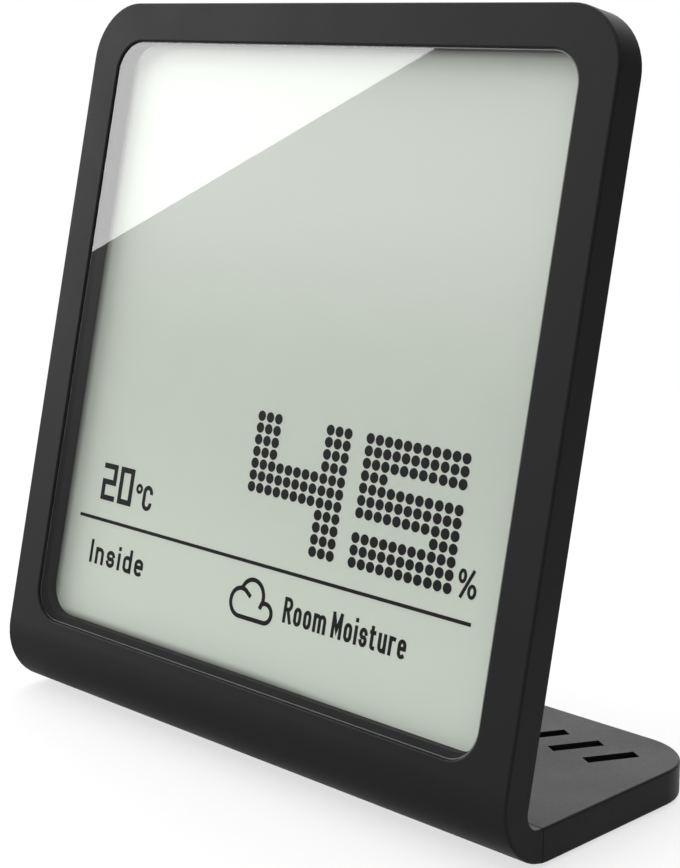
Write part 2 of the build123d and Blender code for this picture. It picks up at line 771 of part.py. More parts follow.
# Rear cover
door_low = bay_height - cell_radius - door_foot
channel_low = door_low - door_gap
channel_w = door_width + 2 * door_gap
channel_h = slope_height - channel_low
pan_low = channel_low - pan_wall
pan_front = pan_back - pan_floor
wide, high, middle, radius = bulge_outline(draft_at(cover_inside))
pan_high = middle + high / 2 - pan_wall / 2
with BuildPart() as rear_cover:
    add(bulge_form.part)
    with BuildSketch(layer(panel_thickness)):
        rounded(flange_w, flange_high - flange_low, (flange_low + flange_high) / 2, flange_corner)
    extrude(amount=-flange_thickness)
    for depth, inset in ((bulge_front, cover_wall), (cover_inside, cover_wall + draft_at(cover_inside))):
        wide, high, middle, radius = bulge_outline(inset)
        with BuildSketch(layer(depth)):
            rounded(wide, high, middle, radius)
    loft(mode=Mode.SUBTRACT)
    wide, high, middle, radius = bulge_outline(cover_wall)
    with BuildSketch(layer(panel_thickness)):
        rounded(wide, high, middle, radius)
        with Locations((0, window_v)):
            Rectangle(glass_w + 2 * tab_gap, glass_h + 2 * tab_gap)
    extrude(amount=-flange_thickness, mode=Mode.SUBTRACT)
    # Snap tabs with their beads
    for turn, reach, shift in tab_seats:
        with BuildSketch(beside(panel_thickness, turn, reach, shift)):
            with Locations((-tab_gap - tab_thickness / 2, 0)):
                Rectangle(tab_thickness, tab_length)
        extrude(amount=tab_reach)
        with BuildSketch(beside(bead_depth - bead_width / 2, turn, reach, shift)):
            with Locations((bead_height / 2 - tab_gap, 0)):
                Rectangle(bead_height, tab_length - 2 * bead_width)
        extrude(amount=-bead_width)
    # Pan under the door, and the cup under the pan
    with BuildSketch(layer(pan_front)):
        with Locations((0, (pan_low + pan_high) / 2)):
            Rectangle(channel_w + 2 * (rail_width + pan_wall), pan_high - pan_low)
    extrude(amount=pan_front - cover_inside)
    with BuildSketch(layer(cup_front)):
        with Locations((0, bay_height)):
            Circle(cup_outer)
    extrude(amount=cup_front - pan_back)
    with BuildSketch(layer(leaf_front)):
        with Locations((0, bay_height)):
            Circle(cup_inner)
    extrude(amount=leaf_front - cover_back, mode=Mode.SUBTRACT)
    # Channel for the door and undercut grooves for its rails, open at the top
    with BuildSketch(layer(pan_back)):
        with Locations((0, channel_low + channel_h / 2)):
            Rectangle(channel_w, channel_h)
    extrude(amount=pan_back - cover_back, mode=Mode.SUBTRACT)
    with BuildSketch(layer(pan_back)):
        with Locations((0, channel_low + channel_h / 2)):
            Rectangle(channel_w + 2 * rail_width, channel_h)
    extrude(amount=-rail_thickness - 2 * door_gap, mode=Mode.SUBTRACT)
    # Notch for a fingernail, and slots for the two contacts
    with BuildSketch(layer(pan_back)):
        with Locations((cell_radius + cell_clearance, bay_height)):
            Circle(notch_radius)
    extrude(amount=notch_depth, mode=Mode.SUBTRACT)
    with BuildSketch(layer(leaf_front)):
        with Locations((0, bay_height - cup_outer + cup_wall / 2)):
            Rectangle(contact_width + 2 * slot_play, 2 * cup_wall)
    extrude(amount=-leaf_thickness - 2 * slot_play, mode=Mode.SUBTRACT)
    with BuildSketch(layer(spring_front - slot_play)):
        with Locations((spring_u, (bay_height - cup_outer + spring_top + slot_play) / 2)):
            Rectangle(spring_thickness + 2 * slot_play, spring_top - bay_height + cup_outer + slot_play)
    extrude(amount=spring_front - slot_play - pan_front, mode=Mode.SUBTRACT)
    # Bosses for the board
    with BuildSketch(layer(board_back)):
        with Locations((0, board_v)):
            with GridLocations(screw_across, screw_up, 2, 2):
                Circle(boss_radius)
    extrude(amount=board_back - cover_inside)
    with BuildSketch(layer(board_back)):
        with Locations((0, board_v)):
            with GridLocations(screw_across, screw_up, 2, 2):
                Circle(board_screw_shank + screw_play)
    extrude(amount=board_thickness - board_screw_length - screw_tip, mode=Mode.SUBTRACT)
    # Vents and the button's hole
    with BuildSketch(layer(cover_back)):
        with Locations((sensor_u, sensor_v)):
            with GridLocations(0, vent_pitch, 1, vent_count):
                SlotOverall(vent_length, vent_width)
        with Locations((button_u, button_v)):
            Circle(button_radius + button_gap)
    extrude(amount=cover_wall, mode=Mode.SUBTRACT)
rear_cover.part.label = "rear_cover"
export_step(rear_cover.part, "parts/rear_cover.step")

# Battery door: flush with the bulge, slides up in its grooves
with BuildPart() as battery_door:
    with BuildSketch(layer(door_front)):
        with Locations((0, door_low + channel_h / 2)):
            Rectangle(door_width, channel_h)
    extrude(amount=-door_thickness)
    with BuildSketch(layer(door_front)):
        with Locations((0, door_low + channel_h / 2)):
            Rectangle(door_width + 2 * rail_width, channel_h)
    extrude(amount=-rail_thickness)
    add(bulge_form.part, mode=Mode.INTERSECT)
    with BuildSketch(layer(cover_back)):
        with Locations((0, door_low + grip_rise)):
            with GridLocations(0, grip_pitch, 1, grip_count):
                SlotOverall(grip_length, grip_width)
    extrude(amount=grip_depth, mode=Mode.SUBTRACT)
battery_door.part.label = "battery_door"
export_step(battery_door.part, "parts/battery_door.step")
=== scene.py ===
import math
import bmesh
import bpy
from mathutils import Matrix, Vector


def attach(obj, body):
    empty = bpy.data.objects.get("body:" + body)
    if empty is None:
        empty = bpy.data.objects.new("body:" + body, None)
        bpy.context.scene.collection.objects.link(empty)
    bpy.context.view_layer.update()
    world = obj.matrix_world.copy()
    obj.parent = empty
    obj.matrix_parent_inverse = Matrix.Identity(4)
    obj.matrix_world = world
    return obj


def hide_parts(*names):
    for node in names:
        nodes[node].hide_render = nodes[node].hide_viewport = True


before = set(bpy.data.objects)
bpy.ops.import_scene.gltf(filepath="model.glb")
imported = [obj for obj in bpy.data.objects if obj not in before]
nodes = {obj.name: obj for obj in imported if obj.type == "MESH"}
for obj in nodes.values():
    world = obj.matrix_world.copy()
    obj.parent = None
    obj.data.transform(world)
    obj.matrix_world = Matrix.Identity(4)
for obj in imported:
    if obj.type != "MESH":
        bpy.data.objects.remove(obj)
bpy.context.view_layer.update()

# Millimetres in a metre
MM = 1000.0

# The leaning panel, in millimetres: u to the right, v up the slope, depth behind the face
LEAN = math.radians(12.0)
CORNER = Vector((0.0, -20.3544, 0.4))
RIGHT = Vector((1, 0, 0))
UP = Vector((0, math.sin(LEAN), math.cos(LEAN)))
BACK = Vector((0, math.cos(LEAN), -math.sin(LEAN)))


def panel(u, v, depth):
    """A point of the leaning panel, in metres."""
    return (CORNER + RIGHT * u + UP * v + BACK * depth) / MM


def put(name, data):
    """A new object in the scene."""
    thing = bpy.data.objects.new(name, data)
    bpy.context.scene.collection.objects.link(thing)
    return thing


def put_mesh(name, bm, materials):
    """A new mesh object in the scene, made from a bmesh, which is freed."""
    mesh = bpy.data.meshes.new(name)
    bm.to_mesh(mesh)
    bm.free()
    for material in materials:
        mesh.materials.append(material)
    return put(name, mesh)


# Materials

# Most values of a noise lie between these two
NOISE_LOW, NOISE_HIGH = 0.3, 0.7


class Tree:
    """A node tree with short ways to add and join nodes."""

    def __init__(self, tree):
        self.tree = tree

    def add(self, kind, **values):
        """A new node with these properties."""
        node = self.tree.nodes.new(kind)
        for key, value in values.items():
            setattr(node, key, value)
        return node

    def join(self, source, target):
        self.tree.links.new(source, target)

    def span(self, value, low, high, start, end, smooth=False):
        """Maps low to high onto start to end, and holds the value at either end beyond them."""
        node = self.add("ShaderNodeMapRange")
        node.interpolation_type = "SMOOTHSTEP" if smooth else "LINEAR"
        node.clamp = True
        for name, number in (("From Min", low), ("From Max", high), ("To Min", start), ("To Max", end)):
            node.inputs[name].default_value = number
        self.join(value, node.inputs["Value"])
        return node.outputs["Result"]

    def fade(self, value, low, high):
        """A soft step from 0 at low to 1 at high."""
        return self.span(value, low, high, 0.0, 1.0, smooth=True)

    def dot(self, vector, axis):
        """The dot product of a vector and a fixed axis."""
        node = self.add("ShaderNodeVectorMath", operation="DOT_PRODUCT")
        node.inputs[1].default_value = axis
        self.join(vector, node.inputs[0])
        return node.outputs["Value"]


class Material(Tree):
    """A new material, whose textures lie in the object's own frame."""

    def __init__(self, name):
        self.mat = bpy.data.materials.new(name)
        self.mat.use_nodes = True
        super().__init__(self.mat.node_tree)
        self.tree.nodes.clear()
        self.out = self.add("ShaderNodeOutputMaterial")
        self.place = self.add("ShaderNodeTexCoord").outputs["Object"]

    def noise(self, size, detail=2.0, stretch=(1, 1, 1)):
        """Noise whose features are about `size` millimetres across."""
        mapping = self.add("ShaderNodeMapping")
        mapping.inputs["Scale"].default_value = [MM / size / s for s in stretch]
        node = self.add("ShaderNodeTexNoise")
        node.inputs["Scale"].default_value = 1.0
        node.inputs["Detail"].default_value = detail
        self.join(self.place, mapping.inputs["Vector"])
        self.join(mapping.outputs["Vector"], node.inputs["Vector"])
        return node.outputs["Fac"]

    def spread(self, noise, start, end):
        """Spreads a noise from start to end."""
        return self.span(noise, NOISE_LOW, NOISE_HIGH, start, end)

    def mix(self, factor, a, b):
        """Colour a where the factor is 0, and b where it is 1. Each is a colour or a socket."""
        node = self.add("ShaderNodeMix", data_type="RGBA")
        for socket, value in ((node.inputs[6], a), (node.inputs[7], b)):
            if isinstance(value, tuple):
                socket.default_value = (*value, 1)
            else:
                self.join(value, socket)
        self.join(factor, node.inputs[0])
        return node.outputs[2]

    def maths(self, what, a, b):
        """One sum. Each of its two values is a number or a socket."""
        node = self.add("ShaderNodeMath", operation=what)
        for socket, value in zip(node.inputs, (a, b)):
            if isinstance(value, float):
                socket.default_value = value
            else:
                self.join(value, socket)
        return node.outputs[0]

    def bump(self, value, height, strength=1.0):
        """Relief of this height, in millimetres."""
        node = self.add("ShaderNodeBump")
        node.inputs["Strength"].default_value = strength
        node.inputs["Distance"].default_value = height / MM
        self.join(value, node.inputs["Height"])
        return node.outputs["Normal"]

    def principled(self, **sockets):
        """The surface, with a number or a socket for each of its inputs."""
        node = self.add("ShaderNodeBsdfPrincipled")
        for name, value in sockets.items():
            socket = node.inputs[name.replace("_", " ")]
            if isinstance(value, float):
                socket.default_value = value
            else:
                self.join(value, socket)
        self.join(node.outputs[0], self.out.inputs[0])
        return node


def grey(level, blue=None):
    """A neutral tone, or one with a blue level of its own."""
    return (level, level, level if blue is None else blue)


def moulded(name, dark, light, rough, grain=0.22, relief=0.004, specular=0.5):
    """Moulded plastic: fine spark-eroded grain, faint cloudiness in colour and gloss."""
    vary = 0.03
    n = Material(name)
    cloud = n.noise(size=9.0, detail=3.0)
    fine = n.noise(size=grain)
    gloss = n.maths("ADD", n.spread(cloud, rough - vary, rough + vary), n.spread(fine, -vary, vary))
    n.principled(Base_Color=n.mix(n.spread(cloud, 0, 1), dark, light), Roughness=gloss,
                 Specular_IOR_Level=specular, Normal=n.bump(fine, relief))
    return n.mat


def metal(name, dark, light, rough, stretch=(1, 1, 1)):
    """Metal with fine rolling or turning marks."""
    vary = 0.08
    n = Material(name)
    lines = n.noise(size=0.12, detail=3.0, stretch=stretch)
    cloud = n.noise(size=3.0)
    n.principled(Base_Color=n.mix(n.spread(cloud, 0, 1), dark, light), Metallic=1.0,
                 Roughness=n.spread(lines, rough - vary, rough + vary), Normal=n.bump(lines, height=0.004))
    return n.mat


def foam(name, dark, light, cell=0.35):
    """Open foam or a breathing film: small cells under a dull skin."""
    n = Material(name)
    cells = n.add("ShaderNodeTexVoronoi")
    cells.inputs["Scale"].default_value = MM / cell
    n.join(n.place, cells.inputs["Vector"])
    pits = cells.outputs["Distance"]
    n.principled(Base_Color=n.mix(n.span(pits, low=0.1, high=0.7, start=0, end=1), dark, light),
                 Roughness=0.9, Normal=n.bump(pits, height=0.05, strength=0.6))
    return n.mat


def clear_sheet():
    """Clear lens: straight view through, mirror gloss that grows towards grazing, faint smears."""
    n = Material("clear lens")
    smear = n.noise(size=14.0, detail=3.0, stretch=(1, 1, 2.5))
    fresnel = n.add("ShaderNodeFresnel")
    fresnel.inputs["IOR"].default_value = 1.75
    front = n.maths("SUBTRACT", 1.0, n.add("ShaderNodeNewGeometry").outputs["Backfacing"])
    through = n.add("ShaderNodeBsdfTransparent")
    through.inputs["Color"].default_value = (0.985, 0.99, 0.985, 1)
    gloss = n.add("ShaderNodeBsdfGlossy")
    gloss.inputs["Color"].default_value = (1, 1, 1, 1)
    n.join(n.span(smear, low=0.35, high=0.7, start=0.0, end=0.018), gloss.inputs["Roughness"])
    mixed = n.add("ShaderNodeMixShader")
    n.join(n.maths("MULTIPLY", fresnel.outputs[0], front), mixed.inputs[0])
    n.join(through.outputs[0], mixed.inputs[1])
    n.join(gloss.outputs[0], mixed.inputs[2])
    n.join(mixed.outputs[0], n.out.inputs[0])
    return n.mat


# The display film's tones
FILM_MIDDLE_DARK, FILM_MIDDLE_LIGHT = (0.640, 0.676, 0.604), (0.652, 0.688, 0.617)
# The paler low and high tones are painted light, not the film's own colour
FILM_LOW_PAINTED_LIGHT, FILM_HIGH_PAINTED_LIGHT = (0.722, 0.764, 0.684), (0.745, 0.777, 0.722)
# A near-black tone for painted shade on the film along the shield's edges
FILM_PAINTED_SHADE = (0.02, 0.021, 0.022)

# Heights at which the low and the high painted-light tones are full, each with the height where it ends
FILM_LOW_PAINTED_LIGHT_AT, FILM_HIGH_PAINTED_LIGHT_AT = (14.0, 45.0), (72.0, 48.0)

# The painted shade along the shield's edges: where its dark is full, and where it ends
PAINTED_SHADE_LOW, PAINTED_SHADE_HIGH = (11.4, 13.1), (89.0, 87.4)
PAINTED_SHADE_LEFT, PAINTED_SHADE_RIGHT = (-38.6, -36.5), (38.3, 37.6)

# To the right of the middle the low painted shade sinks, by a millimetre in all, up to this place
PAINTED_SHADE_SINKS_TO = 34.0


def display_film():
    """Grey-green reflective display: faint cloud, painted light that makes it paler low and high, and soft
    painted shade along the shield's edges.
    """
    n = Material("display film")
    split = n.add("ShaderNodeSeparateXYZ")
    n.join(n.place, split.inputs[0])
    u = n.maths("MULTIPLY", split.outputs[0], MM)
    v = n.maths("SUBTRACT", n.dot(n.place, UP * MM), CORNER.dot(UP))
    cloud = n.spread(n.noise(size=5.0, detail=4.0), 0, 1)
    tone = n.mix(cloud, FILM_MIDDLE_DARK, FILM_MIDDLE_LIGHT)
    # Painted light: the film is made paler low and high
    for colour, (full, ends) in ((FILM_LOW_PAINTED_LIGHT, FILM_LOW_PAINTED_LIGHT_AT), (FILM_HIGH_PAINTED_LIGHT, FILM_HIGH_PAINTED_LIGHT_AT)):
        tone = n.mix(n.fade(v, ends, full), tone, colour)
    # Painted shade: the film darkens softly towards the shield's edges, and less so low on the right
    sunk = n.maths("ADD", v, n.fade(u, 0.0, PAINTED_SHADE_SINKS_TO))
    clear_of_painted_shade = n.maths("MULTIPLY", n.maths("MULTIPLY", n.fade(sunk, *PAINTED_SHADE_LOW), n.fade(v, *PAINTED_SHADE_HIGH)),
                  n.maths("MULTIPLY", n.fade(u, *PAINTED_SHADE_LEFT), n.fade(u, *PAINTED_SHADE_RIGHT)))
    n.principled(Base_Color=n.mix(clear_of_painted_shade, FILM_PAINTED_SHADE, tone), Specular_IOR_Level=0.1,
                 Roughness=n.span(cloud, low=0.0, high=1.0, start=0.57, end=0.63))
    return n.mat


def printed(name, tone):
    """Dark display segments and print, with a slight unevenness."""
    n = Material(name)
    uneven = n.noise(size=1.6)
    lighter = tuple(c * 1.5 for c in tone)
    patches = n.span(uneven, low=0.35, high=0.65, start=0, end=1)
    n.principled(Base_Color=n.mix(patches, tone, lighter), Roughness=0.6,
                 Specular_IOR_Level=0.05, Normal=n.bump(uneven, height=0.0005))
    return n.mat


def board():
    """Green solder mask over fine copper tracks."""
    n = Material("circuit board")
    lines = n.add("ShaderNodeTexBrick")
    lines.inputs["Scale"].default_value = 260.0
    lines.inputs["Mortar Size"].default_value = 0.06
    lines.offset = 0.37
    n.join(n.place, lines.inputs["Vector"])
    track = lines.outputs["Fac"]
    fine = n.noise(size=0.2)
    mask, mask_over_track = (0.006, 0.07, 0.028), (0.012, 0.12, 0.05)
    n.principled(Base_Color=n.mix(track, mask, mask_over_track), Roughness=n.spread(fine, 0.22, 0.34),
                 Normal=n.bump(track, height=0.02, strength=0.6))
    return n.mat


def zebra():
    """Rubber strip of thin dark and pale layers, three pairs to a millimetre."""
    n = Material("zebra strip")
    wave = n.add("ShaderNodeTexWave")
    wave.inputs["Scale"].default_value = 1000.0
    n.join(n.place, wave.inputs["Vector"])
    layers = wave.outputs["Fac"]
    dark, pale = grey(0.02), (0.45, 0.44, 0.42)
    n.principled(Base_Color=n.mix(layers, dark, pale), Roughness=0.7,
                 Normal=n.bump(layers, height=0.01, strength=0.5))
    return n.mat


# Pairs of a darker and a lighter tone that several pieces share
GLASS = ((0.50, 0.55, 0.52), (0.54, 0.58, 0.55))
BLACK_FOAM = (grey(0.012), grey(0.035))
SPRING_STEEL = ((0.55, 0.53, 0.48), (0.68, 0.66, 0.60))

case = moulded("black case", grey(0.0098, 0.0102), grey(0.0114, 0.0119), rough=0.56, specular=0.18)
clear = clear_sheet()
looks = {
    "front_frame": case,
    "foot_plate": case,
    "rear_cover": moulded("black cover", grey(0.0105, 0.011), grey(0.0130, 0.0135), rough=0.52,
                          grain=0.3, relief=0.008, specular=0.3),
    "battery_door": moulded("black door", grey(0.0110, 0.0115), grey(0.0135, 0.014), rough=0.50,
                            grain=0.3, relief=0.008, specular=0.3),
    "unit_button": moulded("button", grey(0.030, 0.031), grey(0.036, 0.037), rough=0.38,
                           grain=0.2, relief=0.003),
    "lens": clear,
    "light_shield": moulded("shield", grey(0.008), grey(0.012), rough=0.75,
                            grain=0.25, relief=0.001, specular=0.2),
    "lens_tape": moulded("tape", grey(0.010), grey(0.014), rough=0.8, grain=0.5, relief=0.01),
    "lcd_front_polariser": display_film(),
    "lcd_front_glass": moulded("display glass", *GLASS, rough=0.12, grain=2.0, relief=0.001),
    "lcd_rear_glass": moulded("rear glass", *GLASS, rough=0.12, grain=2.0, relief=0.001),
    "lcd_reflector": metal("reflector film", (0.62, 0.63, 0.62), (0.70, 0.71, 0.70), rough=0.35,
                           stretch=(8, 1, 1)),
    "circuit_board": board(),
    "board_screws": metal("board screws", grey(0.30, 0.31), grey(0.42, 0.43), rough=0.32),
    "foot_screws": metal("foot screws", grey(0.10, 0.105), grey(0.16, 0.165), rough=0.36),
    "zebra_strip": zebra(),
    "foam_pads": foam("foam", *BLACK_FOAM),
    "sensor_collar": foam("collar foam", *BLACK_FOAM),
    "vent_membrane": foam("membrane", grey(0.62, 0.60), grey(0.78, 0.76), cell=0.15),
    "controller_chip": moulded("epoxy", grey(0.006), grey(0.010), rough=0.2, grain=1.0, relief=0.006),
    "quartz_crystal": metal("crystal can", grey(0.55, 0.52), grey(0.68, 0.65), rough=0.25,
                            stretch=(6, 1, 1)),
    "chip_capacitors": moulded("capacitors", (0.26, 0.16, 0.08), (0.34, 0.21, 0.11), rough=0.45,
                               grain=0.15, relief=0.004),
    "chip_resistors": moulded("resistors", grey(0.010, 0.012), grey(0.02, 0.024), rough=0.3,
                              grain=0.2, relief=0.003),
    "humidity_sensor": moulded("sensor", grey(0.55, 0.53), grey(0.62, 0.60), rough=0.4,
                               grain=0.15, relief=0.003),
    "switch_body": moulded("switch", grey(0.012), grey(0.018), rough=0.55, grain=0.2, relief=0.005),
    "switch_plunger": moulded("plunger", (0.48, 0.46, 0.38), (0.55, 0.53, 0.45), rough=0.45,
                              grain=0.2, relief=0.004),
    "coin_cell": metal("coin cell", grey(0.58, 0.56), grey(0.70, 0.68), rough=0.28, stretch=(1, 6, 1)),
    "negative_contact": metal("contact", *SPRING_STEEL, rough=0.24, stretch=(1, 1, 8)),
    "positive_contact": metal("spring contact", *SPRING_STEEL, rough=0.24, stretch=(1, 1, 8)),
    "foot_pads": moulded("pad rubber", grey(0.016), grey(0.024), rough=0.85,
                         grain=0.4, relief=0.02, specular=0.3),
}
for name, material in looks.items():
    piece = nodes[name]
    piece.data.materials.clear()
    piece.data.materials.append(material)


# Lens with a step that fills the window and a fine bevel round its face, which is pale grey as a painted
# highlight

def arc(cx, cy, rx, ry, start, end, steps=10):
    """Points on an ellipse's arc, angles in degrees."""
    angles = [math.radians(start + (end - start) * i / steps) for i in range(steps + 1)]
    return [(cx + rx * math.cos(a), cy + ry * math.sin(a)) for a in angles]


def round_box(half_width, low, high, corner):
    """Outline of a round-cornered rectangle that is centred on u = 0."""
    right, top, bottom = half_width - corner, high - corner, low + corner
    points = []
    for cu, cv, start in ((right, top, 0), (-right, top, 90), (-right, bottom, 180), (right, bottom, 270)):
        points += arc(cu, cv, corner, corner, start, start + 90)
    return points


# Outlines as half width, lower edge, upper edge and corner radius
FLANGE = (39.8, 9.4, 90.2, 2.8)
STEP = (37.94, 11.26, 88.34, 4.04)

# Depths of the lens's back, of its flange's front and of its face, and the bevel's width
LENS_BACK, FLANGE_FRONT, LENS_FACE = 1.4, 0.6, 0.28
BEVEL = 0.16


def stepped_lens():
    """The lens, as rings of points from its back to its face."""
    half_width, low, high, corner = STEP
    face = (half_width - BEVEL, low + BEVEL, high - BEVEL, corner - BEVEL)
    levels = ((FLANGE, LENS_BACK), (FLANGE, FLANGE_FRONT), (STEP, FLANGE_FRONT),
              (STEP, LENS_FACE + BEVEL), (face, LENS_FACE))
    bm = bmesh.new()
    rings = []
    for size, depth in levels:
        rings.append([bm.verts.new(panel(u, v, depth)) for u, v in round_box(*size)])
    bm.faces.new(rings[0])
    bm.faces.new(rings[-1])
    for a, b in zip(rings, rings[1:]):
        for i in range(len(a)):
            j = (i + 1) % len(a)
            side = bm.faces.new((a[i], a[j], b[j], b[i]))
            side.material_index = 1 if b is rings[-1] else 0
    bmesh.ops.recalc_face_normals(bm, faces=bm.faces)
    # The bevel is opaque pale grey, a painted highlight line round the window
    edge = moulded("lens edge painted highlight", (0.50, 0.51, 0.50), (0.56, 0.57, 0.56), rough=0.35, grain=0.3, relief=0.001)
    piece = put_mesh("stepped_lens", bm, (clear, edge))
    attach(piece, "housing")
    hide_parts("lens")


stepped_lens()


# Marks on the display

# Thickness of every mark, and the depth of the marks on the display film
MARK_THICKNESS = 0.02
ON_FILM = 2.885

# Sides of a round dot
DISC_SIDES = 20

# The least cosine that a mitred corner is worked out with, so that a sharp one stays short
LEAST_COSINE = 0.35

# Two points that are closer than this are the same
SAME_POINT = 1e-6


def ring(cu, cv, ru, rv, steps=20):
    """Points all round an ellipse, with the first one again at the end."""
    return arc(cu, cv, ru, rv, 0, 360, steps)


def ribbon(points, width, closed):
    """Left and right edge points of a stroke of even width, with mitred corners."""
    pts = [Vector(p) for p in points]
    if closed and (pts[0] - pts[-1]).length < SAME_POINT:
        pts.pop()
    count, pairs = len(pts), []
    for i, p in enumerate(pts):
        before = pts[i - 1] if closed or i else None
        after = pts[(i + 1) % count] if closed or i < count - 1 else None
        d1 = (p - before).normalized() if before is not None else (after - p).normalized()
        d2 = (after - p).normalized() if after is not None else d1
        n1, n2 = Vector((-d1.y, d1.x)), Vector((-d2.y, d2.x))
        mitre = (n1 + n2).normalized()
        reach = width / 2 / max(mitre.dot(n1), LEAST_COSINE)
        pairs.append((p + mitre * reach, p - mitre * reach))
    return pairs


def squared(points, reach):
    """The same line with its two ends carried on by `reach`, for square stroke ends."""
    a, b, c, d = (Vector(p) for p in (points[0], points[1], points[-2], points[-1]))
    first, last = a + (a - b).normalized() * reach, d + (d - c).normalized() * reach
    return [tuple(first), *points[1:-1], tuple(last)]


def flat_piece(name, material, depth, strokes=(), discs=(), body="housing"):
    """Thin marks at one depth: strokes are (points, width, closed), discs are (u, v, radius)."""
    bm = bmesh.new()
    for points, width, closed in strokes:
        rows = []
        for pair in ribbon(points, width, closed):
            rows.append([bm.verts.new(panel(q[0], q[1], depth)) for q in pair])
        last = len(rows) if closed else len(rows) - 1
        for i in range(last):
            a, b = rows[i], rows[(i + 1) % len(rows)]
            bm.faces.new((a[0], a[1], b[1], b[0]))
    for u, v, radius in discs:
        outline = ring(u, v, radius, radius, DISC_SIDES)[:-1]
        bm.faces.new([bm.verts.new(panel(x, y, depth)) for x, y in outline])
    piece = put_mesh(name, bm, (material,))
    solid = piece.modifiers.new("thickness", "SOLIDIFY")
    solid.thickness = MARK_THICKNESS / MM
    solid.offset = 0
    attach(piece, body)


# Letters of a narrow technical face, drawn at a cap height of 1
X_HEIGHT, BOWL, WORD_SPACE = 0.67, 0.19, 0.26


def shifted(points, u):
    """The same points moved to the right."""
    return [(a + u, b) for a, b in points]


def glyph(letter):
    """A letter's width and its strokes, each stroke with whether it is closed."""
    x, r = X_HEIGHT, BOWL
    w = 2 * r
    stem = [(0, 0), (0, x)]
    tall = [(0, 0), (0, 1)]
    dot = [(0, .99), (0, 1)]
    bowl = arc(r, x - r, r, r, 0, 180) + arc(r, r, r, r, 180, 360)
    arch = [(0, x - r)] + arc(r, x - r, r, r, 180, 0)[1:] + [(w, 0)]
    turned_arch = [(w - a, x - b) for a, b in arch]
    e_line = [(.06, x / 2 + .02), (w, x / 2 + .02)]
    e_line += arc(r, x - r, r, r, 0, 180) + arc(r, r, r, r, 180, 305, 9)
    narrower = .95
    curl = r * narrower
    s_line = arc(curl, x - .17, curl, .17, 10, 180, 8) + [(0, x - .2)]
    s_line += arc(curl, x - .2, curl, .16, 180, 240, 4)[1:]
    s_line += arc(curl, .2, curl, .16, 60, 0, 4) + arc(curl, .17, curl, .17, 0, -170, 8)[1:]
    r_hook = [(0, x - r)] + arc(r, x - r, r, r, 180, 70, 6)[1:]
    t_line = [(.06, x + .2), (.06, .12)] + arc(.18, .12, .12, .12, 180, 270, 5)[1:] + [(.21, 0)]
    t_bar = [(-.02, x), (.21, x)]
    capital_bowl = [(0, 0), (0, 1), (.23, 1)] + arc(.23, .77, .23, .23, 90, -90)[1:] + [(0, .54)]
    leg = [(.22, .54), (.46, 0)]
    post, valley = [(0, 0), (0, .98)], [(0, .98), (.28, .3), (.56, .98)]
    far_post = [(.56, .98), (.56, 0)]
    table = {
        "I": (0.0, [(tall, False)]),
        "n": (w, [(stem, False), (arch, False)]),
        "s": (w * narrower, [(s_line, False)]),
        "i": (0.0, [(stem, False), (dot, False)]),
        "d": (w, [(bowl, True), (shifted(tall, w), False)]),
        "e": (w, [(e_line, False)]),
        "o": (w, [(bowl, True)]),
        "m": (2 * w, [(stem, False), (arch, False), (shifted(arch, w), False)]),
        "r": (0.26, [(stem, False), (r_hook, False)]),
        "t": (0.24, [(t_line, False), (t_bar, False)]),
        "u": (w, [(turned_arch, False), (shifted(stem, w), False)]),
        "R": (0.44, [(capital_bowl, False), (leg, False)]),
        "M": (0.56, [(post, False), (valley, False), (far_post, False)]),
    }
    return table[letter]


def words(text, u, v, height, stroke, stretch, gap):
    """Strokes of a line of text whose first letter's left edge is at u, baseline at v."""
    strokes, pen, s = [], u + stroke / 2, height - stroke
    for letter in text:
        if letter == " ":
            pen += WORD_SPACE * s * stretch
            continue
        width, parts = glyph(letter)
        for points, closed in parts:
            line = [(pen + a * s * stretch, v + stroke / 2 + b * s) for a, b in points]
            strokes.append((line if closed else squared(line, stroke / 2), stroke, closed))
        pen += width * s * stretch + stroke + gap * s * stretch
    return strokes


ink = printed("display ink", (0.0025, 0.0026, 0.0026))

# Big reading in round dots, eleven by eleven to a digit, three dots to a stroke
DOTS, PITCH, DOT_RADIUS = range(11), 1.447, 0.64
FIRST, MIDDLE, LAST = range(0, 3), range(4, 7), range(8, 11)
TOP_ROW, FOUR_AT, FIVE_AT = 43.15, -4.065, 14.005

# The right-hand stroke of each digit stands this much further out
FURTHER = 0.06

four, five = [], []
for row in DOTS:
    for col in DOTS:
        upper_left = row < MIDDLE.start and col in FIRST
        lower_right = row >= MIDDLE.stop and col in LAST
        if upper_left or row in MIDDLE or col in LAST:
            four.append((row, col))
        if upper_left or lower_right or row in FIRST or row in MIDDLE or row in LAST:
            five.append((row, col))
dots = []
for cells, start in ((four, FOUR_AT), (five, FIVE_AT)):
    for row, col in cells:
        u = start + PITCH * col + (FURTHER if col in LAST else 0)
        dots.append((u, TOP_ROW - PITCH * row, DOT_RADIUS))
flat_piece("humidity_reading", ink, ON_FILM, discs=dots)

# Widths of the display's finer strokes
SLASH_WIDTH, RING_WIDTH, UNIT_WIDTH, DIVIDER_WIDTH, CLOUD_WIDTH = 0.42, 0.40, 0.55, 0.43, 0.54

# Percent sign: a slash between two rings
percent = [
    ([(30.46, 28.08), (32.02, 31.34)], SLASH_WIDTH, False),
    (ring(30.46, 30.47, 0.39, 0.62), RING_WIDTH, True),
    (ring(32.02, 28.98, 0.44, 0.63), RING_WIDTH, True),
]
flat_piece("percent_sign", ink, ON_FILM, percent)

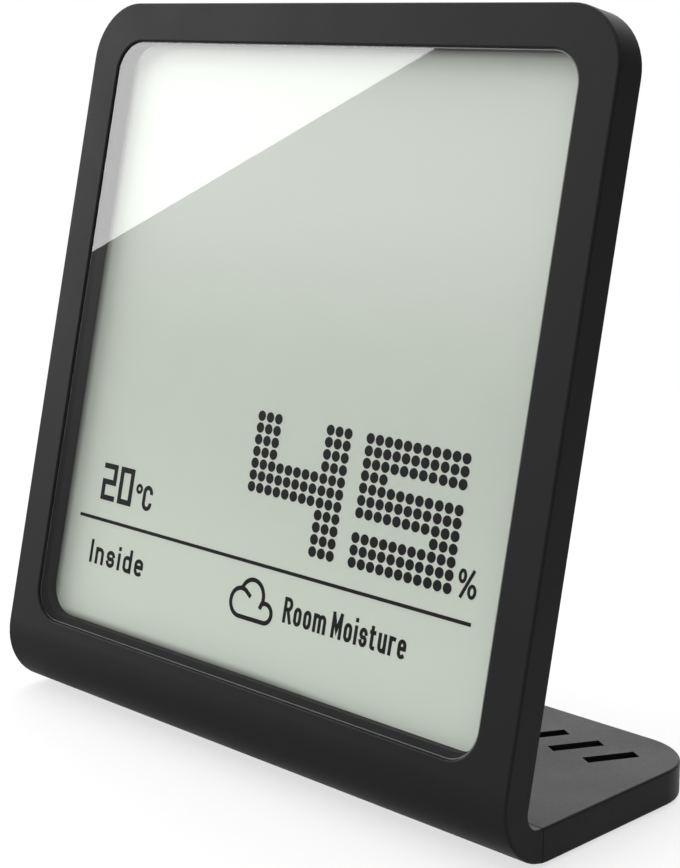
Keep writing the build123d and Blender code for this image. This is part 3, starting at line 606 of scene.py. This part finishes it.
# Small temperature in square digits, with its degree ring and a letter
LOW, HIGH, BAR = 28.42, 32.57, 0.70
HALF_WAY = (LOW + HIGH) / 2
two = [(-31.62, HIGH), (-29.23, HIGH), (-29.23, HALF_WAY), (-31.27, HALF_WAY), (-31.27, LOW), (-28.88, LOW)]
nought = [(-27.90, LOW), (-27.90, HIGH), (-25.84, HIGH), (-25.84, LOW)]
unit = arc(-22.44, 30.42, 0.64, 0.64, -15, 180, 12) + arc(-22.44, 29.00, 0.64, 0.64, 180, 375, 12)
temperature = [
    (two, BAR, False),
    (nought, BAR, True),
    (ring(-24.19, 30.64, 0.43, 0.45), RING_WIDTH, True),
    (unit, UNIT_WIDTH, False),
]
flat_piece("temperature_reading", ink, ON_FILM, temperature)

divider = [(-35.1, 25.47), (32.6, 25.47)]
flat_piece("divider_line", ink, ON_FILM, [(divider, DIVIDER_WIDTH, False)])

# Captions: plain words for place and quantity
place_words = words("Inside", -31.95, 19.62, height=3.05, stroke=0.50, stretch=1.20, gap=0.20)
quantity_words = words("Room Moisture", 4.44, 19.57, height=3.10, stroke=0.47, stretch=0.798, gap=0.17)
flat_piece("place_caption", ink, ON_FILM, place_words)
flat_piece("quantity_caption", ink, ON_FILM, quantity_words)

# Cloud sign
left_lobe = [(1.33, 18.76)] + arc(-2.97, 20.44, 1.66, 1.70, 270, 62, 18) + [(-1.35, 21.37)]
middle_lobe = arc(-1.10, 21.58, 1.93, 1.92, 166, -17, 16)
right_lobe = [(0.42, 20.26)] + arc(1.33, 19.92, 1.16, 1.16, 128, -90, 14)
cloud_sign = [(line, CLOUD_WIDTH, False) for line in (left_lobe, middle_lobe, right_lobe)]
flat_piece("cloud_sign", ink, ON_FILM, cloud_sign)


# Marks on the back, where u runs the other way for the reader

def spot(name):
    """A node's middle in u and v, and the depth of its rearmost face."""
    points = [vertex.co * MM - CORNER for vertex in nodes[name].data.vertices]
    us, vs = [p.dot(RIGHT) for p in points], [p.dot(UP) for p in points]
    return (min(us) + max(us)) / 2, (min(vs) + max(vs)) / 2, max(p.dot(BACK) for p in points)


def behind(strokes, u, v):
    """The same strokes about a place on the back, turned round for the reader there."""
    return [([(u - a, v + b) for a, b in points], width, closed) for points, width, closed in strokes]


# How far the middle of a mark stands off the surface that it is printed on
ON_SURFACE = MARK_THICKNESS / 2

grey_print = printed("grey print", grey(0.15, 0.155))

# The two unit signs above the button, with a slash between them
ABOVE_BUTTON = 3.9
LETTER_WIDTH, DEGREE_WIDTH, BETWEEN_WIDTH = 0.28, 0.22, 0.24
degrees = [(ring(u, 1.95, 0.27, 0.27, 14), DEGREE_WIDTH, True) for u in (-2.75, 0.85)]
letter_c = arc(-1.62, 1.55, 0.52, 0.52, 15, 180, 8) + arc(-1.62, 0.65, 0.52, 0.52, 180, 345, 8)
letter_f = [(1.62, 0.0), (1.62, 2.06), (2.62, 2.06)]
middle_bar = [(1.76, 1.14), (2.45, 1.14)]
slash = [(-0.48, -0.2), (0.28, 2.4)]
letters = [(line, LETTER_WIDTH, False) for line in (letter_c, letter_f, middle_bar)]
button_u, button_v, _ = spot("unit_button")
unit_signs = degrees + letters + [(slash, BETWEEN_WIDTH, False)]
unit_signs = behind(unit_signs, button_u, button_v + ABOVE_BUTTON)
flat_piece("unit_print", grey_print, spot("rear_cover")[2] + ON_SURFACE, unit_signs)

# The door's arrow, clear above the finger grooves
ARROW_V, ARROW_WIDTH = 68.2, 0.42
shaft, head = [(0, 0), (0, 2.98)], [(-1.6, 1.9), (0, 3.5), (1.6, 1.9)]
arrow = behind([(line, ARROW_WIDTH, False) for line in (shaft, head)], 0.0, ARROW_V)
flat_piece("door_arrow", grey_print, spot("battery_door")[2] + ON_SURFACE, arrow, body="battery_door")

# The cell's plus, of one upright and two side strokes, in a fine ring
PLUS_WIDTH, PLUS_REACH = 0.55, 1.9
CELL_RING, CELL_RING_WIDTH = 9.0, 0.14
cell_marks = [([(0, -PLUS_REACH), (0, PLUS_REACH)], PLUS_WIDTH, False)]
for start, end in ((-PLUS_REACH, -PLUS_WIDTH / 2), (PLUS_WIDTH / 2, PLUS_REACH)):
    cell_marks.append(([(start, 0), (end, 0)], PLUS_WIDTH, False))
cell_marks.append((ring(0, 0, CELL_RING, CELL_RING, 64), CELL_RING_WIDTH, True))
cell_u, cell_v, cell_back = spot("coin_cell")
flat_piece("cell_marks", printed("cell marks", grey(0.10)), cell_back + ON_SURFACE,
           behind(cell_marks, cell_u, cell_v))


# Studio

def area_light(name, centre, x_axis, normal, size, power):
    """A soft panel light that shines along its normal."""
    data = bpy.data.lights.new(name, "AREA")
    data.shape = "RECTANGLE"
    data.size, data.size_y = size
    data.energy = power
    light = put(name, data)
    z = -Vector(normal).normalized()
    x = Vector(x_axis).normalized()
    y = z.cross(x).normalized()
    x = y.cross(z)
    light.matrix_world = Matrix.Translation(centre) @ Matrix((x, y, z)).transposed().to_4x4()
    light.visible_camera = False


# Gloss light, whose lower right edge shows as the slanting border of the gloss on the lens

# Two points on that edge, in metres, and the direction from the lens to the light
edge_a, edge_b = Vector((-0.5047, -0.3812, 0.1481)), Vector((-0.4055, -0.4472, 0.2744))
toward = Vector((-0.7191, -0.6589, 0.2207)).normalized()
along = (edge_b - edge_a).normalized()
across = toward.cross(along).normalized()

# The light's length along the edge and its width, and how far it is shifted back along the edge
LENGTH, WIDTH, SHIFT = 0.65, 0.30, 0.10
centre = (edge_a + edge_b) / 2 - along * SHIFT + across * WIDTH / 2
area_light("gloss_light", centre, along, -toward, (LENGTH, WIDTH), power=2.7)
area_light("top_light", centre=(0.1, -0.1, 0.9), x_axis=(1, 0, 0), normal=(-0.1, 0.1, -1),
           size=(1.2, 1.2), power=4.5)

# Level of the surroundings' light from everywhere
BASE_LEVEL = 0.18

# Soft lobes that are added: axis, dot product with it where the lobe begins and is full, strength
OVERHEAD = ((-0.5, 0, 0.87), 0.33, 0.83, 0.80)
BEHIND_LEFT = ((-0.66, 0.66, 0.25), 0.60, 0.98, 2.2)
LOW_IN_FRONT = ((0.40, -0.85, -0.35), 0.35, 1.0, 0.45)
LOW_BEHIND = ((-0.20, 0.75, -0.63), 0.55, 1.0, 1.1)


def studio_world():
    """Soft surroundings, white where the camera sees them."""
    world = bpy.data.worlds.new("studio")
    world.use_nodes = True
    bpy.context.scene.world = world
    n = Tree(world.node_tree)
    direction = n.add("ShaderNodeTexCoord").outputs["Generated"]
    level = None
    for axis, begins, full, strength in (OVERHEAD, BEHIND_LEFT, LOW_IN_FRONT, LOW_BEHIND):
        nearness = n.dot(direction, Vector(axis).normalized())
        total = n.add("ShaderNodeMath", operation="ADD")
        if level is None:
            total.inputs[0].default_value = BASE_LEVEL
        else:
            n.join(level, total.inputs[0])
        n.join(n.span(nearness, begins, full, 0.0, strength, smooth=True), total.inputs[1])
        level = total.outputs[0]
    seen = n.add("ShaderNodeMix")
    seen.inputs["B"].default_value = 1.0
    n.join(n.add("ShaderNodeLightPath").outputs["Is Camera Ray"], seen.inputs["Factor"])
    n.join(level, seen.inputs["A"])
    background = world.node_tree.nodes["Background"]
    background.inputs["Color"].default_value = (1, 1, 1, 1)
    n.join(seen.outputs["Result"], background.inputs["Strength"])


studio_world()

# Pale round floor: its radius, and where it starts to clear and is quite clear, in metres
FLOOR_RADIUS, CLEARS_FROM, CLEAR_AT = 0.28, 0.10, 0.27
CLEAR_IN_MIDDLE = 0.68


def studio_floor():
    """Pale round floor that fades into the white backdrop round the object, and is clear from below."""
    bm = bmesh.new()
    bmesh.ops.create_circle(bm, cap_ends=True, segments=96, radius=FLOOR_RADIUS)
    n = Material("floor")
    tone = n.mix(n.noise(size=120.0), grey(0.86), grey(0.88))
    pale = n.principled(Base_Color=tone, Roughness=0.9, Specular_IOR_Level=0.2,
                        Normal=n.bump(n.noise(size=1.5), height=0.02, strength=0.3))
    reach = n.add("ShaderNodeVectorMath", operation="LENGTH")
    n.join(n.place, reach.inputs[0])
    clearing = n.span(reach.outputs["Value"], CLEARS_FROM, CLEAR_AT, CLEAR_IN_MIDDLE, 1.0, smooth=True)
    below = n.add("ShaderNodeNewGeometry").outputs["Backfacing"]
    edge = n.add("ShaderNodeMixShader")
    n.join(n.maths("MAXIMUM", clearing, below), edge.inputs[0])
    n.join(pale.outputs[0], edge.inputs[1])
    n.join(n.add("ShaderNodeBsdfTransparent").outputs[0], edge.inputs[2])
    n.join(edge.outputs[0], n.out.inputs[0])
    floor = put_mesh("studio_floor", bm, (n.mat,))


studio_floor()

# Camera
camera_data = bpy.data.cameras.new("camera")
camera_data.sensor_width = 36.0
camera_data.lens = 81.611
camera_data.shift_x = 0.0518
camera_data.shift_y = -0.1256
camera_data.clip_end = 100.0
camera = put("camera", camera_data)
camera.location = (0.165606, -0.171295, 0.090113)
camera.rotation_euler = [math.radians(a) for a in (81.0785, -0.2155, 45.2664)]
bpy.context.scene.camera = camera
bpy.context.scene.view_settings.view_transform = "Standard"
bpy.context.scene.view_settings.look = "None"
